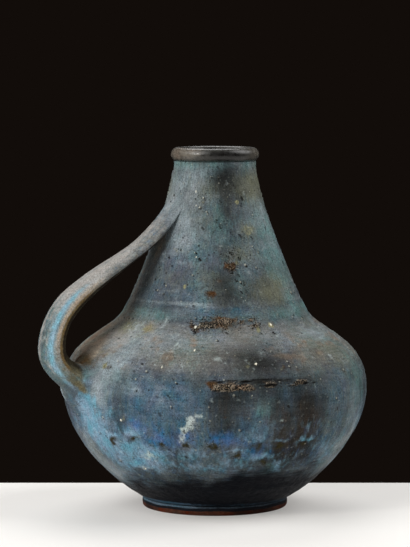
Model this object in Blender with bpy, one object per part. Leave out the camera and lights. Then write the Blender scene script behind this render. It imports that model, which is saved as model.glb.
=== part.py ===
"""A stoneware jug with a pulled strap handle, as the pieces that a potter makes and joins.

Metres, +Z up. The origin is the centre of the foot on the table, on the axis that the jug
was thrown about, and the handle stands on the -X side. The jug is thrown in sections that
are luted together with slip, so every joint keeps a slip line of SLIP_GAP between its pieces.
"""

import math

import bmesh
import bpy
import numpy as np

# Outside of the jug, from the table up
HEIGHT = 0.2400  # table to the top of the rim
FOOT_RADIUS = 0.0487  # widest part of the foot ring
FOOT_HEIGHT = 0.0060
BELLY_RADIUS = 0.1017  # widest part of the jug
BELLY_HEIGHT = 0.0795  # height of that widest part
NECK_BASE_RADIUS = 0.0613  # where the shoulder turns into the neck
NECK_BASE_HEIGHT = 0.1321
NECK_TOP_RADIUS = 0.0271  # just under the rim
RIM_RADIUS = 0.0293  # outside of the rolled rim
RIM_HEIGHT = 0.0092  # height of the rolled rim
RIM_ROLL = 0.0082  # thickness of the roll, from the mouth to its outside
RIM_TUCK_DEG = 36.0  # how far the roll turns in under itself, on both sides

# Swing of the outline: how far each stretch keeps the direction it starts or ends with
FOOT_SPREAD_DEG = 28.6  # rise of the wall as it leaves the foot, above level
FOOT_SWING = 0.0284
BOWL_SWING = 0.0277  # below the widest part
SHOULDER_SWING = 0.0345  # above the widest part
NECK_LEAN_DEG = 28.5  # lean of the wall at the neck's base, from upright
SHOULDER_NECK_SWING = 0.0185
NECK_BASE_SWING = 0.0212
NECK_TOP_SWING = 0.0219

# Clay walls and the joints between the thrown sections
WALL = 0.0060
NECK_WALL = 0.0053  # the neck is drawn thinner towards the rim
FLOOR = 0.0085  # clay under the inside of the jug
BOWL_SECTION = 0.0867  # height of the lower section, above the foot ring
SHOULDER_SECTION = 0.0450  # height of the middle section, between its two joints
JOINT_GROOVE = 0.0020  # depth of the V groove that seats the section above
SLIP_GAP = 0.0003

# Foot ring, turned and left bare underneath
FOOT_RING_WIDTH = 0.0100
FOOT_BULGE = 0.0005  # swell of the ring's outside between its edges
FOOT_CHAMFER = 0.0014  # wiped edge that meets the table
BASE_RECESS = 0.0016  # the base stands this far off the table, inside the ring

# Pulled strap handle, measured along the middle of the strap, top end first
HANDLE_DROP = 0.0420  # the strap leaves the neck this far below the top of the rim
HANDLE_STAND_OFF = 0.0004  # middle of the strap off the neck, where it leaves
HANDLE_LAP = 0.0270  # length of the top end, laid up the neck and worked into it
HANDLE_FALL_DEG = 67.2  # fall of the strap as it leaves the neck, below level
HANDLE_TOP_SWING = 0.0366
HANDLE_REACH = 0.0159  # furthest point of the loop, beyond the belly
HANDLE_LOOP_HEIGHT = 0.1113  # height of that furthest point
HANDLE_LOOP_TOP_SWING = 0.0428
HANDLE_LOOP_LOW_SWING = 0.0127
HANDLE_LOW_HEIGHT = 0.0800  # where the low end is pressed on
HANDLE_LOW_SINK = 0.0090  # the low end runs this far into the wall, and is trimmed off there
HANDLE_LOW_RISE_DEG = 46.0  # rise of the strap out of the low end, above level
HANDLE_LOW_SWING = 0.0212

# Section of the strap at four places along it
STRAP_RUN_PLACE = 0.30  # the thin upper run, as a share of the strap's length
STRAP_LOOP_PLACE = 0.66  # the thick turn of the loop
TOP_WIDTH = 0.0300
RUN_WIDTH = 0.0260
LOOP_WIDTH = 0.0300
LOW_WIDTH = 0.0350
TOP_THICKNESS = 0.0065
RUN_THICKNESS = 0.0086
LOOP_THICKNESS = 0.0136
LOW_THICKNESS = 0.0180
HUG_SHARE = 0.25  # share of the strap over which each end bends round the wall
STRAP_GROOVE = 0.0012  # depth of the two channels that the pulling fingers leave
STRAP_GROOVE_PLACE = 0.56  # their place, as a share of the half width
STRAP_GROOVE_WIDTH = 0.0045

# Facets
TURN_STEPS = 60
OUTLINE_STEP = 0.0072  # spacing of the points on the outside of the wall
LINING_STEP = 0.0100  # and on its inside
RIM_STEPS = 15  # odd, so that one point lies at the very top
FLOOR_STEPS = 6
STRAP_STATIONS = 46
STRAP_SIDES = 26
OUTLINE_SAMPLES = 400  # fine samples of each curve, read by the wall and the handle
SHARP_EDGE_DEG = 40.0  # edges that turn by more than this stay crisp
WELD = 0.000003  # points nearer than this become one


def bezier(start, start_control, end_control, end, count):
    """Points of a cubic curve, with the two controls given as points."""
    u = np.linspace(0.0, 1.0, count)[:, None]
    corners = [np.asarray(p, float) for p in (start, start_control, end_control, end)]
    weights = [(1 - u) ** 3, 3 * u * (1 - u) ** 2, 3 * u**2 * (1 - u), u**3]
    return sum(w * p for w, p in zip(weights, corners))


def heading(degrees):
    """Unit direction in the (radius, height) plane, turned up from the outward level."""
    return np.array([math.cos(math.radians(degrees)), math.sin(math.radians(degrees))])


def jug_outline():
    """The outside of the thrown wall, foot joint to rim joint, as (radius, height) points."""
    foot = np.array([FOOT_RADIUS, FOOT_HEIGHT + SLIP_GAP])
    belly = np.array([BELLY_RADIUS, BELLY_HEIGHT])
    neck_base = np.array([NECK_BASE_RADIUS, NECK_BASE_HEIGHT])
    neck_top = np.array([NECK_TOP_RADIUS, HEIGHT - RIM_HEIGHT])
    upright = np.array([0.0, 1.0])
    lean = heading(90.0 + NECK_LEAN_DEG)
    bowl = bezier(
        foot,
        foot + FOOT_SWING * heading(FOOT_SPREAD_DEG),
        belly - BOWL_SWING * upright,
        belly,
        OUTLINE_SAMPLES,
    )
    shoulder = bezier(
        belly,
        belly + SHOULDER_SWING * upright,
        neck_base - SHOULDER_NECK_SWING * lean,
        neck_base,
        OUTLINE_SAMPLES,
    )
    neck = bezier(
        neck_base,
        neck_base + NECK_BASE_SWING * lean,
        neck_top - NECK_TOP_SWING * upright,
        neck_top,
        OUTLINE_SAMPLES,
    )
    return np.vstack([bowl, shoulder[1:], neck[1:]])


def path_lengths(points):
    steps = np.linalg.norm(np.diff(points, axis=0), axis=1)
    return np.concatenate([[0.0], np.cumsum(steps)])


class Wall:
    """The thrown wall: its outside by height, the way it faces, and its thickness."""

    def __init__(self):
        self.outline = jug_outline()
        self.along = path_lengths(self.outline)
        facing = np.gradient(self.outline, self.along, axis=0)
        facing /= np.linalg.norm(facing, axis=1)[:, None]
        self.rising = facing
        self.outward = np.column_stack([facing[:, 1], -facing[:, 0]])

    def place_at(self, height):
        """Length along the outline at which it reaches that height."""
        return float(np.interp(height, self.outline[:, 1], self.along))

    def radius_at(self, height):
        return float(np.interp(height, self.outline[:, 1], self.outline[:, 0]))

    def read(self, values, places):
        return np.column_stack([np.interp(places, self.along, v) for v in values.T])

    def outside(self, places, stand_off=0.0):
        """Outside points at those lengths along the outline, moved out by stand_off."""
        return self.read(self.outline, places) + stand_off * self.read(self.outward, places)

    def thickness(self, places):
        """Wall below the neck, thinning evenly from the neck's base to the rim."""
        neck_base = self.place_at(NECK_BASE_HEIGHT)
        return np.interp(places, [neck_base, self.along[-1]], [WALL, NECK_WALL])

    def inside(self, places):
        outward = self.read(self.outward, places)
        return self.outside(places) - self.thickness(places)[:, None] * outward

    def joint(self, place, lift):
        """V joint across the wall, outside to inside, lifted along the wall by lift."""
        place = np.array([place])
        rise = self.read(self.rising, place)
        outside = self.outside(place)
        inside = self.inside(place)
        groove = (outside + inside) / 2 - JOINT_GROOVE * rise
        return np.vstack([outside, groove, inside]) + lift * rise


def spaced(start, end, step):
    """Even places from start to end, about step apart, with both ends left out."""
    count = max(2, round(abs(end - start) / step))
    return np.linspace(start, end, count + 1)[1:-1]


def turned(name, outline, material):
    """A solid turned about the Z axis from a closed (radius, height) outline."""
    mesh = bmesh.new()
    ring = [mesh.verts.new((radius, 0.0, height)) for radius, height in outline]
    edges = [mesh.edges.new((a, b)) for a, b in zip(ring, ring[1:] + ring[:1])]
    bmesh.ops.spin(
        mesh,
        geom=ring + edges,
        cent=(0.0, 0.0, 0.0),
        axis=(0.0, 0.0, 1.0),
        angle=2 * math.pi,
        steps=TURN_STEPS,
        use_merge=True,
    )
    bmesh.ops.remove_doubles(mesh, verts=mesh.verts, dist=WELD)
    return finished(name, mesh, material)


def finished(name, mesh, material):
    """The bmesh as an object of that name, closed, facing out and shaded smooth."""
    bmesh.ops.recalc_face_normals(mesh, faces=mesh.faces)
    data = bpy.data.meshes.new(name)
    mesh.to_mesh(data)
    mesh.free()
    data.shade_smooth()
    data.set_sharp_from_angle(angle=math.radians(SHARP_EDGE_DEG))
    data.materials.append(material)
    made = bpy.data.objects.new(name, data)
    bpy.context.scene.collection.objects.link(made)
    return made


def fired(name, colour, roughness):
    """A material for one fired surface."""
    material = bpy.data.materials.new(name)
    material.use_nodes = True
    shader = material.node_tree.nodes["Principled BSDF"]
    shader.inputs["Base Color"].default_value = (*colour, 1.0)
    shader.inputs["Roughness"].default_value = roughness
    shader.inputs["Metallic"].default_value = 0.0
    return material


def make_foot_ring(material):
    """The ring that the jug stands on: swollen outside, wiped lower edge, open middle."""
    inner = FOOT_RADIUS - FOOT_RING_WIDTH
    swell = FOOT_RADIUS - FOOT_BULGE
    middle = (FOOT_HEIGHT + FOOT_CHAMFER) / 2
    outline = [
        (inner, 0.0),
        (FOOT_RADIUS - FOOT_CHAMFER, 0.0),
        (swell, FOOT_CHAMFER),
        (FOOT_RADIUS, middle),
        (swell, FOOT_HEIGHT),
        (inner, FOOT_HEIGHT),
    ]
    return turned("foot_ring", outline, material)


def make_lower_bowl(wall, seam, material):
    """The lower section: a bowl whose base sits down inside the foot ring."""
    base_radius = FOOT_RADIUS - FOOT_RING_WIDTH - SLIP_GAP
    floor_height = BASE_RECESS + FLOOR
    outside = wall.outside(spaced(0.0, seam, OUTLINE_STEP))
    lining = wall.inside(spaced(seam, wall.place_at(floor_height + WALL), LINING_STEP))
    lining = lining[lining[:, 1] > floor_height + WALL]
    fall = lining[-1] - lining[-2]
    fall /= np.linalg.norm(fall)
    turn_in = lining[-1, 1] - floor_height
    floor = bezier(
        lining[-1],
        lining[-1] + turn_in * fall,
        (lining[-1, 0] / 2, floor_height),
        (0.0, floor_height),
        FLOOR_STEPS,
    )
    outline = np.vstack(
        [
            [(0.0, BASE_RECESS), (base_radius, BASE_RECESS)],
            [(base_radius, FOOT_HEIGHT + SLIP_GAP)],
            wall.outline[:1],
            outside,
            wall.joint(seam, 0.0),
            lining,
            floor[1:],
        ]
    )
    return turned("lower_bowl", outline, material)


def make_shoulder(wall, low_seam, high_seam, material):
    """The middle section: the dome that closes the belly in to the neck."""
    outline = np.vstack(
        [
            wall.joint(low_seam, SLIP_GAP)[::-1],
            wall.outside(spaced(low_seam, high_seam, OUTLINE_STEP)),
            wall.joint(high_seam, 0.0),
            wall.inside(spaced(high_seam, low_seam, LINING_STEP)),
        ]
    )
    return turned("shoulder", outline, material)


def make_neck(wall, seam, material):
    """The upper section: a cone drawn in to an upright collar under the rim."""
    top = wall.along[-1]
    outline = np.vstack(
        [
            wall.joint(seam, SLIP_GAP)[::-1],
            wall.outside(spaced(seam, top, OUTLINE_STEP)),
            wall.outside([top]),
            wall.inside([top]),
            wall.inside(spaced(top, seam, LINING_STEP)),
        ]
    )
    return turned("neck", outline, material)


def make_rim(material):
    """The rolled rim: an oval roll, cut flat underneath where it sits on the neck."""
    half_roll = RIM_ROLL / 2
    half_height = RIM_HEIGHT / 2
    centre = np.array([RIM_RADIUS - half_roll, HEIGHT - half_height])
    seat = HEIGHT - RIM_HEIGHT + SLIP_GAP
    mouth = NECK_TOP_RADIUS - NECK_WALL
    tuck = math.radians(RIM_TUCK_DEG)
    turn = np.linspace(-tuck, math.pi + tuck, RIM_STEPS)
    roll = centre + np.column_stack([half_roll * np.cos(turn), half_height * np.sin(turn)])
    outline = np.vstack([[(NECK_TOP_RADIUS, seat)], roll, [(mouth, seat)]])
    return turned("rim", outline, material)


def handle_spine(wall):
    """The middle of the strap, from the neck round the loop to the belly, as (radius, height)."""
    leave_height = HEIGHT - HANDLE_DROP
    leave = np.array([wall.radius_at(leave_height) + HANDLE_STAND_OFF, leave_height])
    fall = heading(-HANDLE_FALL_DEG)
    top = leave - HANDLE_LAP * fall
    loop = np.array([BELLY_RADIUS + HANDLE_REACH, HANDLE_LOOP_HEIGHT])
    low = np.array([wall.radius_at(HANDLE_LOW_HEIGHT) - HANDLE_LOW_SINK, HANDLE_LOW_HEIGHT])
    upright = np.array([0.0, 1.0])
    upper = bezier(
        leave,
        leave + HANDLE_TOP_SWING * fall,
        loop + HANDLE_LOOP_TOP_SWING * upright,
        loop,
        OUTLINE_SAMPLES,
    )
    lower = bezier(
        loop,
        loop - HANDLE_LOOP_LOW_SWING * upright,
        low + HANDLE_LOW_SWING * heading(HANDLE_LOW_RISE_DEG),
        low,
        OUTLINE_SAMPLES,
    )
    return np.vstack([[top], upper, lower[1:]])


def ease(share):
    """0 to 1 with a level start and end."""
    share = np.clip(share, 0.0, 1.0)
    return share * share * (3 - 2 * share)


def along_strap(share, top, run, loop, low):
    """A size of the strap at that share of its length, easing between its four places."""
    size = top + (run - top) * ease(share / STRAP_RUN_PLACE)
    size += (loop - run) * ease((share - STRAP_RUN_PLACE) / (STRAP_LOOP_PLACE - STRAP_RUN_PLACE))
    size += (low - loop) * ease((share - STRAP_LOOP_PLACE) / (1 - STRAP_LOOP_PLACE))
    return size


def strap_section(share, wall_radius):
    """One (across, outward) ring of the strap: an oval with two finger channels outside.

    Towards its ends the strap is pressed on, so there it bends round the wall.
    """
    half_width = along_strap(share, TOP_WIDTH, RUN_WIDTH, LOOP_WIDTH, LOW_WIDTH) / 2
    half_thickness = along_strap(
        share, TOP_THICKNESS, RUN_THICKNESS, LOOP_THICKNESS, LOW_THICKNESS
    ) / 2
    hug = 1 - ease(min(share, 1 - share) / HUG_SHARE)
    turn = np.linspace(0.0, 2 * math.pi, STRAP_SIDES, endpoint=False)
    across = half_width * np.cos(turn)
    outer_side = np.clip(np.sin(turn), 0.0, 1.0)
    off_channel = (np.abs(across) - STRAP_GROOVE_PLACE * half_width) / (STRAP_GROOVE_WIDTH / 2)
    channel = STRAP_GROOVE * np.exp(-(off_channel**2)) * outer_side
    bend = wall_radius - np.sqrt(np.maximum(wall_radius**2 - across**2, 0.0))
    return across, half_thickness * np.sin(turn) - (1 - hug) * channel - hug * bend


def make_handle(wall, envelope, material):
    """The pulled strap, lofted along its spine and trimmed to the wall at both ends."""
    spine = handle_spine(wall)
    along = path_lengths(spine)
    stations = np.linspace(0.0, along[-1], STRAP_STATIONS)
    middle = np.column_stack([np.interp(stations, along, c) for c in spine.T])
    tangent = np.gradient(middle, stations, axis=0)
    tangent /= np.linalg.norm(tangent, axis=1)[:, None]
    mesh = bmesh.new()
    rings = []
    for share, (radius, height), (run, rise) in zip(stations / along[-1], middle, tangent):
        across, outward = strap_section(share, wall.radius_at(height))
        points = [
            (rise * out - radius, side, height + run * out)
            for side, out in zip(across, outward)
        ]
        rings.append([mesh.verts.new(point) for point in points])
    for ring, following in zip(rings, rings[1:]):
        for k in range(STRAP_SIDES):
            after = (k + 1) % STRAP_SIDES
            mesh.faces.new((ring[k], ring[after], following[after], following[k]))
    mesh.faces.new(rings[0])
    mesh.faces.new(rings[-1])
    handle = finished("handle", mesh, material)
    trim = handle.modifiers.new("trim_to_wall", "BOOLEAN")
    trim.operation = "DIFFERENCE"
    trim.solver = "EXACT"
    trim.object = envelope
    return handle


def make_envelope(wall, seams, material):
    """The outside of the whole wall, a slip line proud: the cutter that trims the handle."""
    edges = [0.0, *seams, wall.along[-1]]
    places = [0.0]
    for start, end in zip(edges, edges[1:]):
        places.extend([*spaced(start, end, OUTLINE_STEP), end])
    skin = wall.outside(places, stand_off=SLIP_GAP)
    outline = np.vstack([[(0.0, skin[0, 1])], skin, [(0.0, skin[-1, 1])]])
    envelope = turned("handle_trim", outline, material)
    envelope.hide_render = True
    envelope.display_type = "WIRE"
    return envelope


def main():
    for old in list(bpy.data.objects):
        bpy.data.objects.remove(old)
    bare_clay = fired("bare_red_clay", (0.22, 0.075, 0.035), 0.85)
    dark_glaze = fired("dark_blue_glaze", (0.035, 0.055, 0.085), 0.55)
    blue_glaze = fired("matt_blue_glaze", (0.075, 0.12, 0.16), 0.6)
    grey_glaze = fired("grey_blue_glaze", (0.14, 0.17, 0.18), 0.6)
    rim_glaze = fired("brown_grey_glaze", (0.07, 0.065, 0.055), 0.45)

    wall = Wall()
    low_seam = wall.place_at(FOOT_HEIGHT + SLIP_GAP + BOWL_SECTION)
    high_seam = wall.place_at(FOOT_HEIGHT + SLIP_GAP + BOWL_SECTION + SHOULDER_SECTION)
    make_foot_ring(bare_clay)
    make_lower_bowl(wall, low_seam, dark_glaze)
    make_shoulder(wall, low_seam, high_seam, blue_glaze)
    make_neck(wall, high_seam, blue_glaze)
    make_rim(rim_glaze)
    envelope = make_envelope(wall, [low_seam, high_seam], bare_clay)
    make_handle(wall, envelope, grey_glaze)


main()
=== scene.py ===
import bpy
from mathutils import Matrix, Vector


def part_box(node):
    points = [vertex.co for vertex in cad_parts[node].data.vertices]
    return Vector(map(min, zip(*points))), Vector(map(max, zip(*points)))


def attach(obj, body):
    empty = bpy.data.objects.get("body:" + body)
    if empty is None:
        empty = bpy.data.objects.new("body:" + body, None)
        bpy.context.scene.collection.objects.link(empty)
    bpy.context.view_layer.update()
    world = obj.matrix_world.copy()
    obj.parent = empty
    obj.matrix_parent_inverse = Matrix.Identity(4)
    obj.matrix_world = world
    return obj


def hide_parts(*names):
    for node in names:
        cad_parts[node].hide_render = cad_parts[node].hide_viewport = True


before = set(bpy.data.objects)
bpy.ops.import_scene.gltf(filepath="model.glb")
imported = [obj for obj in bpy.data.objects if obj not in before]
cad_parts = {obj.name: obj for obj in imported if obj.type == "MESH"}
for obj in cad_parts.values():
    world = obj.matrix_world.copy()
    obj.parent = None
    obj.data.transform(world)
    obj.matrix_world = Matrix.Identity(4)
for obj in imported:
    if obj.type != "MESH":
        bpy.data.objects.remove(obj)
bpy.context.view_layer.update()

import math

import bpy
import numpy as np
from mathutils import Vector

# Lower bowl
# The bottom half of the body: red stoneware thrown on a wheel, its edge luted to the shoulder.
# One outline runs through bowl, shoulder and neck, and one coat of glaze covers all three.
MM = 0.001
VIEW_AZIMUTH = math.radians(-25.0)  # bearing 0 on the wall faces this way, and bearing 90 its right
RIGHT = np.array([math.cos(VIEW_AZIMUTH), math.sin(VIEW_AZIMUTH), 0.0])
TOWARDS = np.array([math.sin(VIEW_AZIMUTH), -math.cos(VIEW_AZIMUTH), 0.0])
UPRIGHT = np.array([0.0, 1.0])
FOOT_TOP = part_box("foot_ring")[1].z
FOOT_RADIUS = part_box("foot_ring")[1].x
BELLY_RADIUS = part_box("lower_bowl")[1].x
BELLY_HEIGHT = 79.5 * MM
NECK_BASE = np.array([61.3, 132.1]) * MM
NECK_TOP = np.array([27.1 * MM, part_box("rim")[0].z])
FOOT_SPREAD = math.radians(28.6)
NECK_LEAN = math.radians(28.5)
BOWL_INSET = 0.5 * MM  # of the bowl's lower edge from the foot's side
# How far the outline swings on in its own direction below and above each of its places.
FOOT_SWING = 28.4 * MM
BELLY_SWINGS = (27.7 * MM, 34.5 * MM)
NECK_BASE_SWINGS = (18.5 * MM, 21.2 * MM)
NECK_TOP_SWING = 21.9 * MM
BOWL_SEAM = 93.0 * MM
NECK_SEAM = 138.0 * MM
WALL = 6.0 * MM
BASE_RECESS = 1.6 * MM
FLOOR = 8.5 * MM
FOOT_WIDTH = 10.0 * MM
JOINT_GAP = 0.3 * MM
TURN_STEPS = 600  # columns round the axis, about 1 mm apart on the belly
ROW_STEP = 1.0 * MM
LINING_STEP = 5.0 * MM


def swing_curve(start, start_swing, end_swing, end, count=400):
    """Cubic curve: start, end and the two swung points between them, weighted by powers of t."""
    t = np.linspace(0.0, 1.0, count)[:, None]
    first = start + start_swing
    second = end + end_swing
    return (1 - t) ** 3 * start + 3 * t * (1 - t) ** 2 * first + 3 * t**2 * (1 - t) * second + t**3 * end


def lengths(line):
    """Running length along a line of points: the sum of the steps so far."""
    return np.concatenate([[0.0], np.cumsum(np.linalg.norm(np.diff(line, axis=0), axis=1))])


foot_corner = np.array([FOOT_RADIUS - BOWL_INSET, FOOT_TOP])
belly = np.array([BELLY_RADIUS, BELLY_HEIGHT])
foot_spread = np.array([math.cos(FOOT_SPREAD), math.sin(FOOT_SPREAD)])
neck_lean = np.array([-math.sin(NECK_LEAN), math.cos(NECK_LEAN)])
OUTLINE = np.vstack([
    swing_curve(foot_corner, FOOT_SWING * foot_spread, -BELLY_SWINGS[0] * UPRIGHT, belly),
    swing_curve(belly, BELLY_SWINGS[1] * UPRIGHT, -NECK_BASE_SWINGS[0] * neck_lean, NECK_BASE)[1:],
    swing_curve(NECK_BASE, NECK_BASE_SWINGS[1] * neck_lean, -NECK_TOP_SWING * UPRIGHT, NECK_TOP)[1:],
])
ALONG = lengths(OUTLINE)
rising = np.gradient(OUTLINE, ALONG, axis=0)
rising /= np.linalg.norm(rising, axis=1)[:, None]
OUTWARD = np.column_stack([rising[:, 1], -rising[:, 0]])


def wall_rows(low, high, step):
    """(radius, height) rows of the outline between two heights, and which way each row faces."""
    start, end = np.interp([low, high], OUTLINE[:, 1], ALONG)
    places = np.linspace(start, end, max(2, round(abs(end - start) / step)) + 1)
    rows = np.column_stack([np.interp(places, ALONG, c) for c in OUTLINE.T])
    facing = np.column_stack([np.interp(places, ALONG, c) for c in OUTWARD.T])
    return rows, facing / np.linalg.norm(facing, axis=1)[:, None]


BEARING = np.linspace(-math.pi, math.pi, TURN_STEPS, endpoint=False)
ROUND = np.sin(BEARING)[:, None] * RIGHT + np.cos(BEARING)[:, None] * TOWARDS


def turned(rows):
    """Grid of points: each (radius, height) row carried round the axis through every bearing."""
    grid = rows[:, None, :1] * ROUND
    grid[..., 2] = rows[:, 1:]
    return grid


RANDOM_CELLS = 64
RANDOM_TABLE = np.random.default_rng(11).uniform(-1.0, 1.0, (RANDOM_CELLS,) * 3)
OCTAVE_SHIFT = 19.7  # in cells, so that no octave repeats the one before it


def cloud(points, size, octaves=3, shift=0.0):
    """Soft random field, about -1 to 1: a table of random numbers read at points / size and eased
    between its eight neighbours, each further octave half the size and half as strong."""
    total = np.zeros(points.shape[:-1])
    for octave in range(octaves):
        place = points / np.asarray(size) * 2**octave + shift + OCTAVE_SHIFT * octave
        cell = np.floor(place).astype(int)
        part = place - cell
        part = part * part * (3 - 2 * part)
        for corner in np.ndindex(2, 2, 2):
            weight = np.prod(np.where(corner, part, 1 - part), axis=-1)
            at = (cell + corner) % RANDOM_CELLS
            total += 0.5**octave * weight * RANDOM_TABLE[at[..., 0], at[..., 1], at[..., 2]]
    return total


def rise(value, low, high):
    """0 below low, 1 above high, eased between by 3 x squared less 2 x cubed."""
    share = np.clip((value - low) / (high - low), 0.0, 1.0)
    return share * share * (3 - 2 * share)


def fall(value, low, high):
    """1 below low, 0 above high, eased between as rise is."""
    return rise(-value, -high, -low)


def wall_places(points):
    """Bearing (radians), radius and height of every point, which the functions below read."""
    bearing = np.arctan2(points @ RIGHT, points @ TOWARDS)
    return bearing, np.hypot(points[..., 0], points[..., 1]), points[..., 2]


def patch(places, bearing, height, wide, tall):
    """Soft spot on the wall: 1 at that bearing (degrees) and height (mm), fading over its width
    and tallness (mm) as a bell curve of the distance along the wall."""
    turn = (places[0] - math.radians(bearing) + math.pi) % (2 * math.pi) - math.pi
    off_side = turn * places[1] / (wide * MM)
    off_level = (places[2] - height * MM) / (tall * MM)
    return np.exp(-(off_side**2) - off_level**2)


def placed(places, spots):
    """Sum of soft spots, each (bearing in degrees, height, width, tallness in mm, strength)."""
    return sum(strength * patch(places, *spot) for *spot, strength in spots)


def band(places, start, end, height, tall, fade=6.0):
    """Level band on the wall from one bearing to another (degrees), fading over fade degrees."""
    turn = np.degrees(places[0])
    ends = rise(turn, start - fade, start + fade) * fall(turn, end - fade, end + fade)
    return ends * np.exp(-(((places[2] - height * MM) / (tall * MM)) ** 2))


# The strap's line and section come here, because the wall swells where the handle is pressed on.
HANDLE_LEAVE = 198.0 * MM
HANDLE_PROUD = 0.4 * MM  # of the strap's middle over the wall, where it leaves
HANDLE_LAP = 27.0 * MM
HANDLE_FALL = math.radians(67.2)
HANDLE_LOOP = np.array([BELLY_RADIUS + 15.9 * MM, 111.3 * MM])
HANDLE_LOW = 80.0 * MM
HANDLE_LOW_SINK = 9.0 * MM
HANDLE_LOW_RISE = math.radians(46.0)
HANDLE_LEAVE_SWING = 36.6 * MM
HANDLE_LOOP_SWINGS = (42.8 * MM, 12.7 * MM)  # above and below the loop's outermost point
HANDLE_LOW_SWING = 21.2 * MM
STRAP_PLACES = np.array([0.0, 0.30, 0.66, 1.0])  # top end, upper run, loop, low end
STRAP_WIDTHS = np.array([30.0, 26.0, 30.0, 35.0]) * MM
STRAP_THICKNESSES = np.array([5.0, 8.6, 13.6, 18.0]) * MM
STATIONS = 260
TRIED_EVERY = 4  # every fourth station is close enough to find the nearest one by
CREASE_REACH = 1.6 * MM
BELLY_REACH = 10.0 * MM


def radius_at(height):
    """Radius of the turned wall at a height."""
    return np.interp(height, OUTLINE[:, 1], OUTLINE[:, 0])


leave = np.array([radius_at(HANDLE_LEAVE) + HANDLE_PROUD, HANDLE_LEAVE])
falling = np.array([math.cos(HANDLE_FALL), -math.sin(HANDLE_FALL)])
low_end = np.array([radius_at(HANDLE_LOW) - HANDLE_LOW_SINK, HANDLE_LOW])
low_rise = np.array([math.cos(HANDLE_LOW_RISE), math.sin(HANDLE_LOW_RISE)])
spine = np.vstack([
    [leave - HANDLE_LAP * falling],
    swing_curve(leave, HANDLE_LEAVE_SWING * falling, HANDLE_LOOP_SWINGS[0] * UPRIGHT, HANDLE_LOOP),
    swing_curve(HANDLE_LOOP, -HANDLE_LOOP_SWINGS[1] * UPRIGHT, HANDLE_LOW_SWING * low_rise, low_end)[1:],
])
spine_along = lengths(spine)
SHARE = np.linspace(0.0, 1.0, STATIONS)
MIDDLE = np.column_stack([np.interp(SHARE * spine_along[-1], spine_along, c) for c in spine.T])
RUN = np.gradient(MIDDLE, axis=0)
RUN /= np.linalg.norm(RUN, axis=1)[:, None]


def along_strap(sizes):
    """A size at every station, easing between its values at the strap's four places."""
    step = np.clip(np.searchsorted(STRAP_PLACES, SHARE, side="right") - 1, 0, 2)
    part = (SHARE - STRAP_PLACES[step]) / (STRAP_PLACES[step + 1] - STRAP_PLACES[step])
    return sizes[step] + (sizes[step + 1] - sizes[step]) * rise(part, 0, 1)


HALF_WIDTH = along_strap(STRAP_WIDTHS) / 2
HALF_THICKNESS = along_strap(STRAP_THICKNESSES) / 2


def off_strap(points):
    """Distance from the strap: the point's place in the plane of the nearest section, measured
    against that section's oval along the line to its middle. It is a metre on the far half of the
    wall, which the strap doesn't reach."""
    least = np.full(points.shape[:-1], np.inf)
    nearest = np.zeros(points.shape[:-1], int)
    for station in range(0, STATIONS, TRIED_EVERY):
        gap = np.hypot(-points[..., 0] - MIDDLE[station, 0], points[..., 2] - MIDDLE[station, 1])
        nearest = np.where(gap < least, station, nearest)
        least = np.minimum(gap, least)
    across = np.abs(points[..., 1])
    oval = np.hypot(across / HALF_WIDTH[nearest], least / HALF_THICKNESS[nearest])
    behind = points[..., 0] > 0
    return np.where(behind, 1.0, (1 - 1 / np.maximum(oval, 1e-6)) * np.hypot(across, least))


def fillet(distance, height):
    """Clay smoothed into the corner of strap and wall: each swells by (reach - distance) squared
    over 2 reach, sinking again inside the other. The reach is long at the belly and short in the
    crease where the strap parts from the neck."""
    reach = CREASE_REACH + (BELLY_REACH - CREASE_REACH) * fall(height / MM, 115, 150)
    return np.maximum(reach - np.abs(distance), 0.0) ** 2 / (2 * reach)


# Blisters and pits of the glaze: (bearing in degrees, height, radius and lift in mm). The large
# ones stand where the pot shows them, and small ones are scattered all round it.
MARKS = [
    (-24, 212, 1.2, 0.8), (-14, 208, 1.3, 0.9), (-14, 205, 1.2, 0.8), (-22, 203, 1.2, 0.7),
    (26, 205, 1.5, 1.0), (32, 203, 1.4, -0.9), (2, 193, 1.1, -0.8), (6, 189, 1.2, -0.9),
    (-16, 172.5, 1.3, -0.9), (-15, 169, 1.2, 0.9), (14, 172, 1.2, -0.8), (21, 169, 1.3, -0.8),
    (11, 164, 1.8, 1.1), (14, 163, 1.6, 0.9), (17, 166, 1.5, 0.8), (13, 160, 1.3, -0.8),
    (22, 153, 1.4, -0.8), (-22, 151, 1.5, 1.0), (-3, 147, 1.6, 0.6), (16, 155, 1.2, -0.7),
    (-11, 123.5, 1.6, -1.3), (33, 126.5, 1.2, 0.9), (24, 124, 1.2, 0.7), (16, 105, 1.0, 0.8),
    (-21, 103, 1.1, 0.8), (-9, 113, 1.0, 0.8), (27, 103, 1.8, 0.7), (-48, 101, 1.3, 0.8),
    (-45, 101, 1.3, -0.7), (-30, 88, 1.1, -1.0), (13, 86, 1.0, 0.8), (-36, 69, 1.5, 0.8),
    (67, 91, 1.3, 0.7), (58, 53, 1.3, 0.7), (-34, 35, 1.2, 0.8), (-39, 30, 1.0, 0.7),
]
PLACED_MARKS = len(MARKS)
SCATTERED_MARKS = 260
scatter = np.random.default_rng(5)
for _ in range(SCATTERED_MARKS):
    size = scatter.uniform(0.6, 1.1)
    MARKS.append((scatter.uniform(-180, 180), scatter.uniform(38, 228), size, scatter.choice([-0.5, 0.4])))

# The thumbed ridge that runs on from the strap's front edge down the belly, spot by spot.
RIDGE = [(-63.0 + 1.5 * k, 92.0 - 1.3 * k, 4.0, 3.0, 1.3 - 0.11 * k) for k in range(8)]
UPPER_CRACK = (-4, 24, 95.4, 0.38)  # from and to which bearing, height and tallness in mm
LOWER_CRACK = (10, 40, 91.6, 0.36)
CRACK_WAVER = 0.8 * MM


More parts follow.
